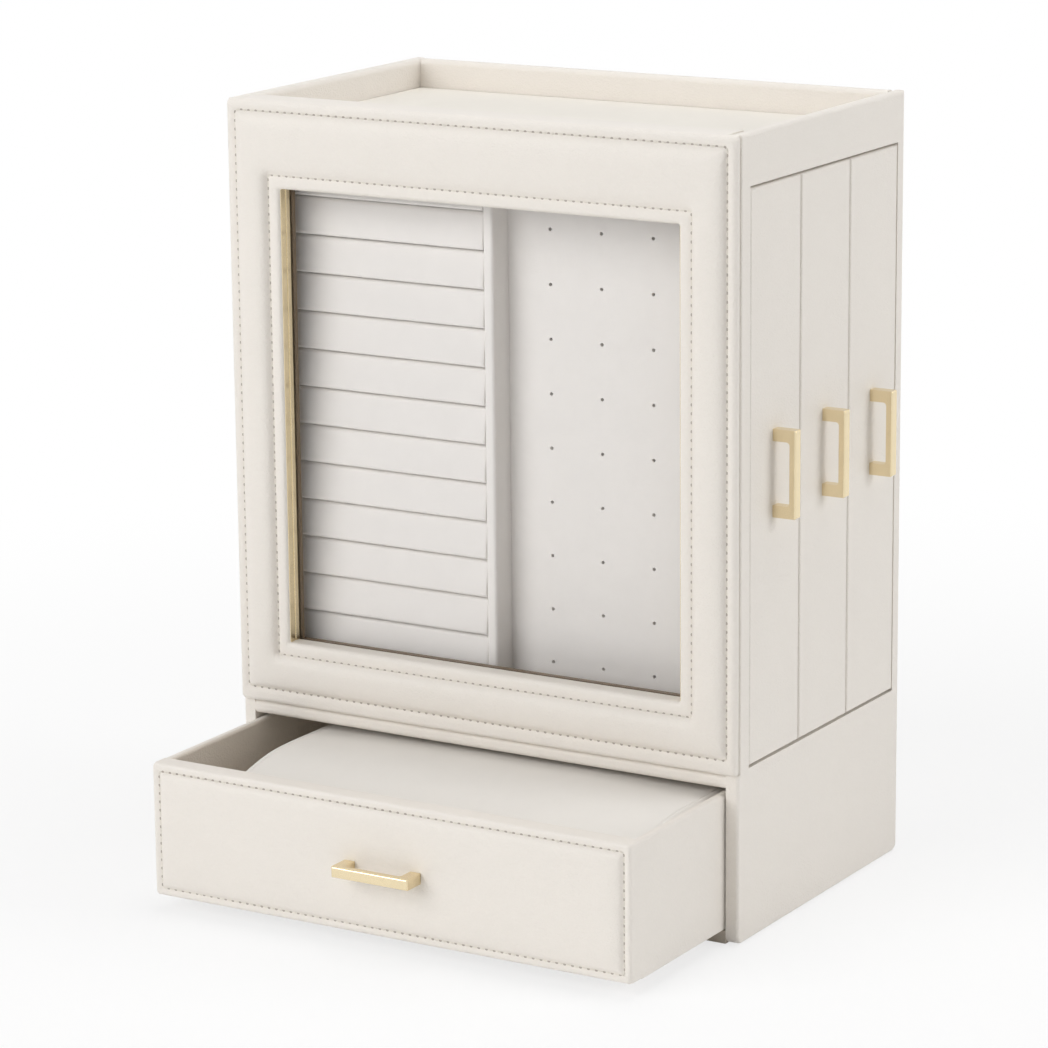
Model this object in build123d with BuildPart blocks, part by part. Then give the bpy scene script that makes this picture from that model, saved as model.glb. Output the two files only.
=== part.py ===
from build123d import *
from math import asin, degrees
import os

# Leather-wrapped jewelry cabinet: an open tray on top, a fixed padded front with a window, three upright
# drawers that pull out of the right side, and a wide drawer that pulls out to the front at the bottom.
# Origin at the middle of the base, X to the right, Y to the back, Z up, millimetres.

# Cabinet
cabinet_width = 250.0
cabinet_depth = 154.0
cabinet_height = 344.0
side_board = 6.0
back_board = 6.0
felt_thickness = 0.5
felt_inset = 5.0
base_thickness = 5.7
lower_front_setback = 2.5
lower_opening_height = 62.1
shelf_thickness = 6.6
rail_depth = 5.5
rail_rounding = 2.6
wrap_rounding = 1.5
seam_rounding = 1.0
base_corner_rounding = 4.0

# Tray on top
tray_depth = 12.7
tray_floor_thickness = 6.0
tray_lining_thickness = 1.0
tray_front_wall_thickness = 10.0
tray_rim_rounding = 2.4
tray_lining_gap = 0.3

# Window panel
panel_thickness = 8.0
panel_core_thickness = 5.0
panel_wrap = 1.2
panel_edge_rounding = 2.2
panel_side_depth = 4.2
outer_stitch_inset = 4.75
outer_stitch_low_inset = 6.85
pad_width = 16.25
pad_top_width = 27.25
pad_crown = 2.4
pad_sink = 1.0
window_lip = 6.0
window_lip_rounding = 2.2
trim_thickness = 0.8
trim_setback = 1.2
trim_groove_depth = 0.3
trim_groove_width = 1.2
trim_groove_place = 3.0
glass_thickness = 2.0
glass_overlap = 5.0
retainer_depth = 4.7
retainer_width = 16.0
retainer_glass_gap = 0.3

# Side opening and the three upright drawers
side_opening_front = 11.7
side_opening_rear = 6.4
side_opening_drop = 2.1
side_opening_lift = 1.3
drawer_count = 3
front_gap = 0.8
front_bottom_gap = 1.0
front_top_gap = 1.0
front_rounding = 1.1
partition_thickness = 2.4
partition_end_gap = 1.0
frame_front_setback = 6.3
frame_rear_gap = 3.5
frame_board = 3.0
frame_front_board = 4.0
frame_end_gap = 0.5
frame_lift = 0.4
frame_top_gap = 1.7
guide_width = 3.0
guide_height = 3.0
guide_gap = 0.6

# Ring rolls and earring board of the first drawer
divider_thickness = 5.0
divider_offset = -3.9
roll_pitch = 16.9
roll_gap = 0.8
roll_depth = 18.0
roll_lean = 2.0
roll_lower_rounding = 1.5
roll_upper_rounding = 2.2
roll_end_gap = 0.3
roll_backing_thickness = 2.5
earring_board_setback = 13.0
earring_board_thickness = 2.5
hole_margin_x = 20.7
hole_margin_z = 24.1
hole_columns = 4
hole_rows = 9
hole_radius = 0.8

# Necklace fittings of the other two drawers
hook_rail_height = 10.0
hook_rail_thickness = 7.0
hook_rail_drop = 16.0
hook_count = 8
hook_pitch = 26.0
hook_radius = 1.4
hook_reach = 9.0
hook_rise = 5.0
pocket_height = 55.0
pocket_bulge = 14.0
pocket_edge = 5.0
pocket_sheet = 1.6
pocket_side_gap = 3.0

# Bottom drawer
drawer_open_at_rest = 79.7
drawer_side_gap = 0.6
drawer_bottom_gap = 0.7
drawer_top_gap = 2.0
drawer_rear_gap = 0.6
drawer_front_thickness = 9.0
drawer_core_thickness = 6.5
drawer_wrap = 1.2
drawer_front_rounding = 1.2
drawer_stitch_inset = 3.5
drawer_stitch_low_inset = 4.6
drawer_pad_rise = 1.4
drawer_pad_rounding = 1.2
drawer_wall = 4.0
drawer_rim_rounding = 1.5
drawer_floor_thickness = 3.0
drawer_floor_lift = 0.6
drawer_lining_thickness = 0.8
lining_gap = 0.3
bin_width = 20.5
bin_divider_thickness = 2.0
bin_divider_height = 38.0
cushion_gap = 0.4
cushion_drop = 0.3
cushion_crown_y = 14.0
cushion_crown_x = 1.8
cushion_draw_in = 1.0

# Handles and their screws
handle_length = 37.8
handle_section = 4.9
handle_bar = 3.0
handle_leg = 5.2
handle_reach = 10.8
handle_rounding = 0.5
handle_inner_rounding = 1.5
side_handle_drop = 0.3
screw_radius = 1.4
screw_gap = 0.1
screw_bite = 5.0
screw_head_radius = 3.0
screw_head_height = 1.8
screw_head_gap = 0.3

# Planes worked out from the sizes above
half_width = cabinet_width / 2
half_depth = cabinet_depth / 2
inner_x = half_width - side_board
back_inner_y = half_depth - back_board
panel_front_y = -half_depth
panel_rear_y = panel_front_y + panel_thickness
panel_seam_y = panel_front_y + panel_side_depth
lower_front_y = panel_front_y + lower_front_setback
base_top = felt_thickness + base_thickness
shelf_bottom = base_top + lower_opening_height
shelf_top = shelf_bottom + shelf_thickness
tray_surface = cabinet_height - tray_depth
tray_floor_top = tray_surface - tray_lining_thickness
tray_floor_bottom = tray_floor_top - tray_floor_thickness
opening_front_y = panel_front_y + side_opening_front
opening_rear_y = half_depth - side_opening_rear
opening_bottom = shelf_top + side_opening_lift
opening_top = tray_floor_bottom - side_opening_drop
bay_pitch = (opening_rear_y - opening_front_y) / drawer_count
frame_depth = bay_pitch - frame_front_setback - frame_rear_gap

os.makedirs("parts", exist_ok=True)


def save(finished, label):
    finished.part.label = label
    export_step(finished.part, f"parts/{label}.step")


# A board between two corners, given as low and high x, y and z.
def board(x0, x1, y0, y1, z0, z1, mode=Mode.ADD):
    with Locations(((x0 + x1) / 2, (y0 + y1) / 2, (z0 + z1) / 2)):
        return Box(x1 - x0, y1 - y0, z1 - z0, mode=mode)


# Base: a felt sheet under a leather-wrapped board.
with BuildPart() as base_felt:
    board(
        felt_inset - half_width,
        half_width - felt_inset,
        lower_front_y + felt_inset,
        half_depth - felt_inset,
        0,
        felt_thickness,
    )
save(base_felt, "base_felt")

with BuildPart() as base_board:
    board(-inner_x, inner_x, lower_front_y, back_inner_y, felt_thickness, base_top)
save(base_board, "base_board")

# The outline of both side panels, seen from the side: the lower storey stands forward under the window
# panel, and above it the side laps over the edge of that panel.
side_outline = [
    (lower_front_y, felt_thickness),
    (half_depth, felt_thickness),
    (half_depth, cabinet_height),
    (panel_seam_y, cabinet_height),
    (panel_seam_y, shelf_top),
    (lower_front_y, shelf_top),
]


# One side panel from the outline, with its outer edges rounded by the leather wrap: the front one runs on
# round the base corners and up the back.
def side_panel(inner, outer):
    with BuildPart() as panel:
        with BuildSketch(Plane.YZ.offset(inner)):
            Polygon(*side_outline, align=None)
            fillet(vertices().group_by(Axis.Y)[0], base_corner_rounding)
        extrude(amount=outer - inner)
        outer_face = faces().filter_by(Axis.X).sort_by(Axis.X)[-1 if outer > 0 else 0]
        upright = outer_face.edges().filter_by(Axis.Z).group_by(Axis.Y)
        rim = outer_face.edges().filter_by(Axis.Y).group_by(Axis.Z)[-1]
        fillet(upright[0] + rim, wrap_rounding)
        seam = faces().filter_by(Axis.X).sort_by(Axis.X)[-1 if outer > 0 else 0]
        fillet(seam.edges().filter_by(Axis.Z).group_by(Axis.Y)[1], seam_rounding)
        inner_face = faces().filter_by(Axis.X).sort_by(Axis.X)[0 if outer > 0 else -1]
        fillet(inner_face.edges().filter_by(Axis.Y).group_by(Axis.Z)[-1], tray_rim_rounding)
    return panel


left_side_panel = side_panel(-inner_x, -half_width)
save(left_side_panel, "left_side_panel")

with BuildPart() as right_side_panel:
    add(side_panel(inner_x, half_width).part)
    board(
        inner_x,
        half_width,
        opening_front_y,
        opening_rear_y,
        opening_bottom,
        opening_top,
        mode=Mode.SUBTRACT,
    )
save(right_side_panel, "right_side_panel")

with BuildPart() as back_panel:
    board(-inner_x, inner_x, back_inner_y, half_depth, felt_thickness, cabinet_height)
    rim = edges().filter_by(Axis.X).group_by(Axis.Z)[-1]
    fillet(rim, tray_rim_rounding)
save(back_panel, "back_panel")

# Shelf between the storeys, and the rounded leather rail in front of it.
with BuildPart() as shelf_board:
    board(-inner_x, inner_x, panel_rear_y, back_inner_y, shelf_bottom, shelf_top)
save(shelf_board, "shelf_board")

with BuildPart() as front_rail:
    board(-inner_x, inner_x, lower_front_y, lower_front_y + rail_depth, shelf_bottom, shelf_top)
    rail_front = edges().filter_by(Axis.X).group_by(Axis.Y)[0]
    fillet(rail_front, rail_rounding)
save(front_rail, "front_rail")

# Tray on top: floor, front wall and lining. The side panels and the back panel are its other walls.
with BuildPart() as tray_floor:
    board(-inner_x, inner_x, panel_rear_y, back_inner_y, tray_floor_bottom, tray_floor_top)
save(tray_floor, "tray_floor")

tray_front_y = panel_rear_y + tray_front_wall_thickness
with BuildPart() as tray_front_wall:
    board(-inner_x, inner_x, panel_rear_y, tray_front_y, tray_floor_top, cabinet_height)
    rim = edges().filter_by(Axis.X).group_by(Axis.Z)[-1].sort_by(Axis.Y)[-1]
    fillet(rim, tray_rim_rounding)
save(tray_front_wall, "tray_front_wall")

with BuildPart() as tray_lining:
    board(
        tray_lining_gap - inner_x,
        inner_x - tray_lining_gap,
        tray_front_y + tray_lining_gap,
        back_inner_y - tray_lining_gap,
        tray_floor_top,
        tray_surface,
    )
save(tray_lining, "tray_lining")

# Window panel. The window lies inside the inner stitch line by the width of its rolled lip.
outer_x = half_width - outer_stitch_inset
outer_low = shelf_top + outer_stitch_low_inset
outer_high = cabinet_height - outer_stitch_inset
inner_stitch_x = outer_x - pad_width
inner_low = outer_low + pad_width
inner_high = outer_high - pad_top_width
window_x = inner_stitch_x - window_lip
window_low = inner_low + window_lip
window_high = inner_high - window_lip
trim_front_y = panel_front_y + trim_setback

with BuildPart() as window_panel_core:
    board(
        panel_wrap - inner_x,
        inner_x - panel_wrap,
        panel_rear_y - panel_core_thickness,
        panel_rear_y,
        shelf_top + panel_wrap,
        cabinet_height - panel_wrap,
    )
    board(
        -window_x - panel_wrap,
        window_x + panel_wrap,
        panel_front_y,
        panel_rear_y,
        window_low - panel_wrap,
        window_high + panel_wrap,
        mode=Mode.SUBTRACT,
    )
save(window_panel_core, "window_panel_core")


# One side of the padded frame between the stitch lines, drawn flat: its outer edge lies along X, it is as
# wide as asked along Y, and its crown rises along Z. Every width is the same arc, stretched, so that the
# crowns meet on the mitres.
crown_radius = (pad_width**2 / 4 + pad_crown**2) / (2 * pad_crown)
crown_angle = degrees(asin(pad_width / 2 / crown_radius))


def pad_bar(length, width, mitre_start, mitre_end):
    with BuildPart() as bar:
        with BuildSketch(Plane.XY.offset(-pad_sink)):
            Polygon((0, 0), (length, 0), (length - mitre_end, width), (mitre_start, width), align=None)
        extrude(amount=pad_sink + pad_crown)
        with BuildSketch(Plane.YZ):
            with BuildLine():
                crown = EllipticalCenterArc(
                    (width / 2, pad_crown - crown_radius),
                    crown_radius * width / pad_width,
                    crown_radius,
                    90 - crown_angle,
                    arc_size=2 * crown_angle,
                )
                Polyline(crown @ 1, (0, -pad_sink), (width, -pad_sink), crown @ 0)
            make_face()
        extrude(amount=length, mode=Mode.INTERSECT)
    return bar.part


pad_length_x = 2 * outer_x
pad_length_z = outer_high - outer_low


# Where a padded bar goes: the corner it starts from, and the direction in which it runs.
def pad_place(corner_x, corner_z, run_x, run_z):
    corner = (corner_x, panel_front_y, corner_z)
    return Plane(origin=corner, x_dir=(run_x, 0, run_z), z_dir=(0, -1, 0)).location


pad_bars = [
    pad_place(-outer_x, outer_low, 1, 0) * pad_bar(pad_length_x, pad_width, pad_width, pad_width),
    pad_place(outer_x, outer_low, 0, 1) * pad_bar(pad_length_z, pad_width, pad_width, pad_top_width),
    pad_place(outer_x, outer_high, -1, 0) * pad_bar(pad_length_x, pad_top_width, pad_width, pad_width),
    pad_place(-outer_x, outer_high, 0, -1) * pad_bar(pad_length_z, pad_width, pad_top_width, pad_width),
]

with BuildPart() as window_panel_cover:
    board(-half_width, half_width, panel_front_y, panel_seam_y, shelf_top, cabinet_height)
    front_edges = faces().sort_by(Axis.Y)[0].edges()
    fillet(front_edges, panel_edge_rounding)
    seam_edges = faces().sort_by(Axis.Y)[-1].edges()
    fillet(seam_edges, seam_rounding)
    board(-inner_x, inner_x, panel_seam_y - seam_rounding, panel_rear_y, shelf_top, cabinet_height)
    board(-window_x, window_x, panel_front_y, panel_rear_y, window_low, window_high, mode=Mode.SUBTRACT)
    lip_edges = faces().sort_by(Axis.Y)[0].inner_wires()[0].edges()
    fillet(lip_edges, window_lip_rounding)
    add(pad_bars)
    add(window_panel_core.part, mode=Mode.SUBTRACT)
    strip_reach = window_x + trim_thickness
    board(
        -strip_reach,
        strip_reach,
        trim_front_y,
        panel_rear_y,
        window_low,
        window_high,
        mode=Mode.SUBTRACT,
    )
save(window_panel_cover, "window_panel_cover")

# Gold strips on the two upright jambs, let into the leather so that they end flush with the opening, each
# with a groove down its face.
with BuildPart() as window_trim:
    for side in (-1, 1):
        strip_x = min(side * window_x, side * (window_x + trim_thickness))
        groove_x = min(side * window_x, side * (window_x + trim_groove_depth))
        groove_y = trim_front_y + trim_groove_place
        board(strip_x, strip_x + trim_thickness, trim_front_y, panel_rear_y, window_low, window_high)
        board(
            groove_x,
            groove_x + trim_groove_depth,
            groove_y,
            groove_y + trim_groove_width,
            window_low,
            window_high,
            mode=Mode.SUBTRACT,
        )
save(window_trim, "window_trim")

glass_x = window_x + glass_overlap
glass_low = window_low - glass_overlap
glass_high = window_high + glass_overlap
with BuildPart() as window_glass:
    board(-glass_x, glass_x, panel_rear_y, panel_rear_y + glass_thickness, glass_low, glass_high)
save(window_glass, "window_glass")

# Retainer behind the glass: a frame with a rebate that the glass lies in.
with BuildPart() as glass_retainer:
    board(
        -window_x - retainer_width,
        window_x + retainer_width,
        panel_rear_y,
        panel_rear_y + retainer_depth,
        window_low - retainer_width,
        window_high + retainer_width,
    )
    board(
        -window_x,
        window_x,
        panel_rear_y,
        panel_rear_y + retainer_depth,
        window_low,
        window_high,
        mode=Mode.SUBTRACT,
    )
    board(
        -glass_x - retainer_glass_gap,
        glass_x + retainer_glass_gap,
        panel_rear_y,
        panel_rear_y + glass_thickness,
        glass_low - retainer_glass_gap,
        glass_high + retainer_glass_gap,
        mode=Mode.SUBTRACT,
    )
save(glass_retainer, "glass_retainer")

# Partitions between the drawer bays, standing on the shelf up to the tray floor.
with BuildPart() as bay_partitions:
    for bay in range(1, drawer_count):
        bay_edge = opening_front_y + bay * bay_pitch
        board(
            -inner_x,
            inner_x - partition_end_gap,
            bay_edge - partition_thickness / 2,
            bay_edge + partition_thickness / 2,
            shelf_top,
            tray_floor_bottom,
        )
save(bay_partitions, "bay_partitions")

# Upright drawers: places shared by every bay.
frame_bottom = opening_bottom + frame_lift
frame_top = opening_top - frame_top_gap
frame_left_x = frame_end_gap - inner_x
frame_inner_left = frame_left_x + frame_board
frame_inner_right = inner_x - frame_front_board
frame_inner_bottom = frame_bottom + frame_board
frame_inner_top = frame_top - frame_board
front_bottom = opening_bottom + front_bottom_gap
front_top = opening_top - front_top_gap
side_handle_z = (front_bottom + front_top) / 2 - side_handle_drop
leg_offset = (handle_length - handle_leg) / 2


# Front edge of the frame in a bay, counted from zero at the window.
def frame_front_y(bay):
    return opening_front_y + bay * bay_pitch + frame_front_setback


with BuildPart() as drawer_guides:
    for bay in range(drawer_count):
        guide_low = frame_front_y(bay) - guide_gap - guide_width
        guide_high = frame_front_y(bay) + frame_depth + guide_gap
        partition_face = opening_front_y + (bay + 1) * bay_pitch - partition_thickness / 2
        guide_rear = min(guide_high + guide_width, partition_face)
        right_end = inner_x - partition_end_gap
        board(-inner_x, right_end, guide_low, guide_low + guide_width, shelf_top, shelf_top + guide_height)
        if bay < drawer_count - 1:
            board(-inner_x, right_end, guide_high, guide_rear, shelf_top, shelf_top + guide_height)
save(drawer_guides, "drawer_guides")


# A handle in its own frame: it stands on the plane Z = 0 and its bar runs along X.
def drawer_handle():
    upright = (Align.CENTER, Align.CENTER, Align.MIN)
    with BuildPart() as handle:
        Box(handle_length, handle_section, handle_reach, align=upright)
        opening = handle_length - 2 * handle_leg
        clear_height = handle_reach - handle_bar
        with BuildSketch(Plane.XZ):
            with Locations((0, clear_height / 2)):
                Rectangle(opening, clear_height)
            fillet(vertices().group_by(Axis.Y)[-1], handle_inner_rounding)
        extrude(amount=handle_section, both=True, mode=Mode.SUBTRACT)
        chamfer(faces().sort_by(Axis.Z)[-1].edges(), handle_rounding)
    return handle.part


# The two screws of a handle in the same frame, their heads behind the board, at head_face below zero. With
# clearance they are the cutter for their own holes.
def handle_screws(head_face, clearance=0.0, head_room=0.0):
    with BuildPart() as screws:
        with BuildSketch(Plane.XY.offset(head_face - head_room)):
            with GridLocations(2 * leg_offset, 1, 2, 1):
                Circle(screw_head_radius + clearance)
        extrude(amount=head_room + screw_head_height)
        with BuildSketch(Plane.XY.offset(head_face)):
            with GridLocations(2 * leg_offset, 1, 2, 1):
                Circle(screw_radius + clearance)
        extrude(amount=screw_bite + clearance - head_face)
    return screws.part


# Side drawers.
side_head_face = screw_head_gap - frame_front_board - side_board
side_screws = handle_screws(side_head_face)
side_screw_cutter = handle_screws(side_head_face, screw_gap, screw_head_gap)

for bay in range(drawer_count):
    name = f"side_drawer_{bay + 1}"
    front_low_y = opening_front_y + bay * bay_pitch + front_gap / 2
    front_high_y = opening_front_y + (bay + 1) * bay_pitch - front_gap / 2
    frame_y0 = frame_front_y(bay)
    frame_y1 = frame_y0 + frame_depth
    back_y0 = frame_y1 - frame_board
    handle_point = (half_width, (front_low_y + front_high_y) / 2, side_handle_z)
    handle_place = Plane(origin=handle_point, x_dir=(0, 0, 1), z_dir=(1, 0, 0)).location
    screw_holes = handle_place * side_screw_cutter

    with BuildPart() as drawer_front:
        board(inner_x, half_width, front_low_y, front_high_y, front_bottom, front_top)
        fillet(faces().sort_by(Axis.X)[-1].edges(), front_rounding)
        add(screw_holes, mode=Mode.SUBTRACT)
    save(drawer_front, f"{name}_front")

    with BuildPart() as drawer_frame:
        board(frame_left_x, inner_x, frame_y0, back_y0, frame_bottom, frame_top)
        board(
            frame_inner_left,
            frame_inner_right,
            frame_y0,
            back_y0,
            frame_inner_bottom,
            frame_inner_top,
            mode=Mode.SUBTRACT,
        )
        add(screw_holes, mode=Mode.SUBTRACT)
    save(drawer_frame, f"{name}_frame")

    with BuildPart() as drawer_back:
        board(frame_left_x, inner_x, back_y0, frame_y1, frame_bottom, frame_top)
    save(drawer_back, f"{name}_back_board")

    with BuildPart() as handle:
        add(handle_place * drawer_handle())
        add(screw_holes, mode=Mode.SUBTRACT)
    save(handle, f"{name}_handle")

    with BuildPart() as screws:
        add(handle_place * side_screws)
    save(screws, f"{name}_handle_screws")

    if bay == 0:
        divider_x0 = divider_offset - divider_thickness / 2
        divider_x1 = divider_offset + divider_thickness / 2
        with BuildPart() as divider:
            board(divider_x0, divider_x1, frame_y0, back_y0, frame_inner_bottom, frame_inner_top)
            fillet(edges().filter_by(Axis.Z).group_by(Axis.Y)[0], wrap_rounding)
        save(divider, f"{name}_divider")

        # Earring board, set back from the edge of the divider, with its grid of holes centred on it.
        board_y0 = frame_y0 + earring_board_setback
        board_y1 = board_y0 + earring_board_thickness
        grid_centre = ((divider_x1 + frame_inner_right) / 2, (frame_inner_bottom + frame_inner_top) / 2)
        hole_pitch_x = (frame_inner_right - divider_x1 - 2 * hole_margin_x) / (hole_columns - 1)
        hole_pitch_z = (frame_inner_top - frame_inner_bottom - 2 * hole_margin_z) / (hole_rows - 1)
        with BuildPart() as earring_board:
            board(divider_x1, frame_inner_right, board_y0, board_y1, frame_inner_bottom, frame_inner_top)
            with BuildSketch(Plane.XZ.offset(-board_y0)):
                with Locations(grid_centre):
                    with GridLocations(hole_pitch_x, hole_pitch_z, hole_columns, hole_rows):
                        Circle(hole_radius)
            extrude(amount=-earring_board_thickness, mode=Mode.SUBTRACT)
        save(earring_board, f"{name}_earring_board")

        backing_y0 = frame_y0 + roll_depth
        with BuildPart() as roll_backing:
            board(
                frame_inner_left,
                divider_x0,
                backing_y0,
                backing_y0 + roll_backing_thickness,
                frame_inner_bottom,
                frame_inner_top,
            )
        save(roll_backing, f"{name}_roll_backing")

        # Ring rolls from the top down, like shingles: each face leans back towards its top, where the slit is
        # that holds the rings. The last roll takes what is left at the bottom.
        roll_count = round((frame_inner_top - frame_inner_bottom) / roll_pitch)
        roll_length = divider_x0 - frame_inner_left - 2 * roll_end_gap
        with BuildPart() as ring_rolls:
            for roll in range(roll_count):
                roll_top = frame_inner_top - roll * roll_pitch - roll_gap / 2
                roll_bottom = roll_top - roll_pitch + roll_gap
                if roll == roll_count - 1:
                    roll_bottom = frame_inner_bottom + roll_gap / 2
                with BuildSketch(Plane.YZ.offset(frame_inner_left + roll_end_gap)):
                    Polygon(
                        (frame_y0, roll_bottom),
                        (backing_y0, roll_bottom),
                        (backing_y0, roll_top),
                        (frame_y0 + roll_lean, roll_top),
                        align=None,
                    )
                    fillet(vertices().sort_by(Axis.X)[1], roll_upper_rounding)
                    fillet(vertices().sort_by(Axis.X)[0], roll_lower_rounding)
                extrude(amount=roll_length)
        save(ring_rolls, f"{name}_ring_rolls")
    else:
        # Necklace hooks on a rail near the top, and a fabric pocket at the bottom.
        rail_z1 = frame_inner_top - hook_rail_drop
        rail_y0 = back_y0 - hook_rail_thickness
        rail_centre_x = (frame_inner_left + frame_inner_right) / 2
        with BuildPart() as hook_rail:
            board(frame_inner_left, frame_inner_right, rail_y0, back_y0, rail_z1 - hook_rail_height, rail_z1)
        save(hook_rail, f"{name}_hook_rail")

        hook_z = rail_z1 - hook_rail_height / 2
        with BuildPart() as hooks:
            for place in range(hook_count):
                hook_x = rail_centre_x + (place - (hook_count - 1) / 2) * hook_pitch
                with BuildLine() as hook_path:
                    Polyline(
                        (hook_x, rail_y0, hook_z),
                        (hook_x, rail_y0 - hook_reach, hook_z),
                        (hook_x, rail_y0 - hook_reach, hook_z + hook_rise),
                    )
                with BuildSketch(Plane.XZ.offset(-rail_y0)):
                    with Locations((hook_x, hook_z)):
                        Circle(hook_radius)
                sweep(path=hook_path.line, transition=Transition.RIGHT)
        save(hooks, f"{name}_necklace_hooks")

        pocket_x0 = frame_inner_left + pocket_side_gap
        pocket_x1 = frame_inner_right - pocket_side_gap
        pocket_mid = (pocket_x0 + pocket_x1) / 2
        pocket_y = back_y0 - pocket_edge
        with BuildPart() as pocket:
            with BuildSketch(Plane.XY.offset(frame_inner_bottom)):
                with BuildLine():
                    Polyline(
                        (pocket_x0, pocket_y),
                        (pocket_x0, back_y0),
                        (pocket_x1, back_y0),
                        (pocket_x1, pocket_y),
                    )
                    ThreePointArc(
                        (pocket_x1, pocket_y),
                        (pocket_mid, pocket_y - pocket_bulge),
                        (pocket_x0, pocket_y),
                    )
                make_face()
            extrude(amount=pocket_height)
            with BuildSketch(Plane.XY.offset(frame_inner_bottom + pocket_sheet)):
                with BuildLine():
                    Polyline(
                        (pocket_x0 + pocket_sheet, pocket_y),
                        (pocket_x0 + pocket_sheet, back_y0 - pocket_sheet),
                        (pocket_x1 - pocket_sheet, back_y0 - pocket_sheet),
                        (pocket_x1 - pocket_sheet, pocket_y),
                    )
                    ThreePointArc(
                        (pocket_x1 - pocket_sheet, pocket_y),
                        (pocket_mid, pocket_y - pocket_bulge + pocket_sheet),
                        (pocket_x0 + pocket_sheet, pocket_y),
                    )
                make_face()
            extrude(amount=pocket_height, mode=Mode.SUBTRACT)
        save(pocket, f"{name}_pocket")

# Bottom drawer, drawn where it stands open at rest.
drawer_x = inner_x - drawer_side_gap
drawer_bottom = base_top + drawer_bottom_gap
drawer_top = shelf_bottom - drawer_top_gap
drawer_front_y = lower_front_y - drawer_open_at_rest
drawer_box_y = drawer_front_y + drawer_front_thickness
drawer_rear_y = back_inner_y - drawer_rear_gap - drawer_open_at_rest
core_front_y = drawer_box_y - drawer_core_thickness
drawer_centre_z = (drawer_bottom + drawer_top) / 2
drawer_pad_y = drawer_front_y - drawer_pad_rise
pad_field_bottom = drawer_bottom + drawer_stitch_low_inset
pad_field_top = drawer_top - drawer_stitch_inset
bottom_handle_point = (0, drawer_pad_y, drawer_centre_z)
bottom_handle_place = Plane(origin=bottom_handle_point, x_dir=(1, 0, 0), z_dir=(0, -1, 0)).location
bottom_head_face = drawer_pad_y - drawer_box_y + screw_head_gap
bottom_screw_holes = bottom_handle_place * handle_screws(bottom_head_face, screw_gap, screw_head_gap)

with BuildPart() as bottom_drawer_core:
    board(
        drawer_wrap - drawer_x,
        drawer_x - drawer_wrap,
        core_front_y,
        drawer_box_y,
        drawer_bottom + drawer_wrap,
        drawer_top - drawer_wrap,
    )
    add(bottom_screw_holes, mode=Mode.SUBTRACT)
save(bottom_drawer_core, "bottom_drawer_front_core")

# The leather cover of the front: a padded field inside the stitch line, wrapped round the core's edges.
with BuildPart() as bottom_drawer_cover:
    board(-drawer_x, drawer_x, drawer_front_y, drawer_box_y, drawer_bottom, drawer_top)
    fillet(faces().sort_by(Axis.Y)[0].edges(), drawer_front_rounding)
    with BuildSketch(Plane.XZ.offset(-drawer_front_y)):
        with Locations((0, (pad_field_bottom + pad_field_top) / 2)):
            Rectangle(2 * (drawer_x - drawer_stitch_inset), pad_field_top - pad_field_bottom)
    extrude(amount=drawer_pad_rise)
    fillet(faces().sort_by(Axis.Y)[0].edges(), drawer_pad_rounding)
    board(
        drawer_wrap - drawer_x,
        drawer_x - drawer_wrap,
        core_front_y,
        drawer_box_y,
        drawer_bottom + drawer_wrap,
        drawer_top - drawer_wrap,
        mode=Mode.SUBTRACT,
    )
    add(bottom_screw_holes, mode=Mode.SUBTRACT)
save(bottom_drawer_cover, "bottom_drawer_front_cover")

for side, side_name in ((-1, "left"), (1, "right")):
    wall_low = min(side * drawer_x, side * (drawer_x - drawer_wall))
    with BuildPart() as drawer_side:
        board(wall_low, wall_low + drawer_wall, drawer_box_y, drawer_rear_y, drawer_bottom, drawer_top)
        fillet(edges().filter_by(Axis.Y).group_by(Axis.Z)[-1], drawer_rim_rounding)
    save(drawer_side, f"bottom_drawer_{side_name}_wall")

drawer_inner_x = drawer_x - drawer_wall
drawer_back_y = drawer_rear_y - drawer_wall
with BuildPart() as bottom_drawer_back:
    board(-drawer_inner_x, drawer_inner_x, drawer_back_y, drawer_rear_y, drawer_bottom, drawer_top)
    fillet(edges().filter_by(Axis.X).group_by(Axis.Z)[-1], drawer_rim_rounding)
save(bottom_drawer_back, "bottom_drawer_back_wall")

drawer_floor_bottom = drawer_bottom + drawer_floor_lift
drawer_floor_top = drawer_floor_bottom + drawer_floor_thickness
with BuildPart() as bottom_drawer_floor:
    board(
        -drawer_inner_x,
        drawer_inner_x,
        drawer_box_y,
        drawer_back_y,
        drawer_floor_bottom,
        drawer_floor_top,
    )
save(bottom_drawer_floor, "bottom_drawer_floor")

bin_x1 = -drawer_inner_x + bin_width
with BuildPart() as bin_lining:
    board(
        -drawer_inner_x + lining_gap,
        bin_x1 - lining_gap,
        drawer_box_y + lining_gap,
        drawer_back_y - lining_gap,
        drawer_floor_top,
        drawer_floor_top + drawer_lining_thickness,
    )
save(bin_lining, "bottom_drawer_bin_lining")

with BuildPart() as bin_divider:
    board(
        bin_x1,
        bin_x1 + bin_divider_thickness,
        drawer_box_y,
        drawer_back_y,
        drawer_floor_top,
        drawer_floor_top + bin_divider_height,
    )
save(bin_divider, "bottom_drawer_bin_divider")

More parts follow.
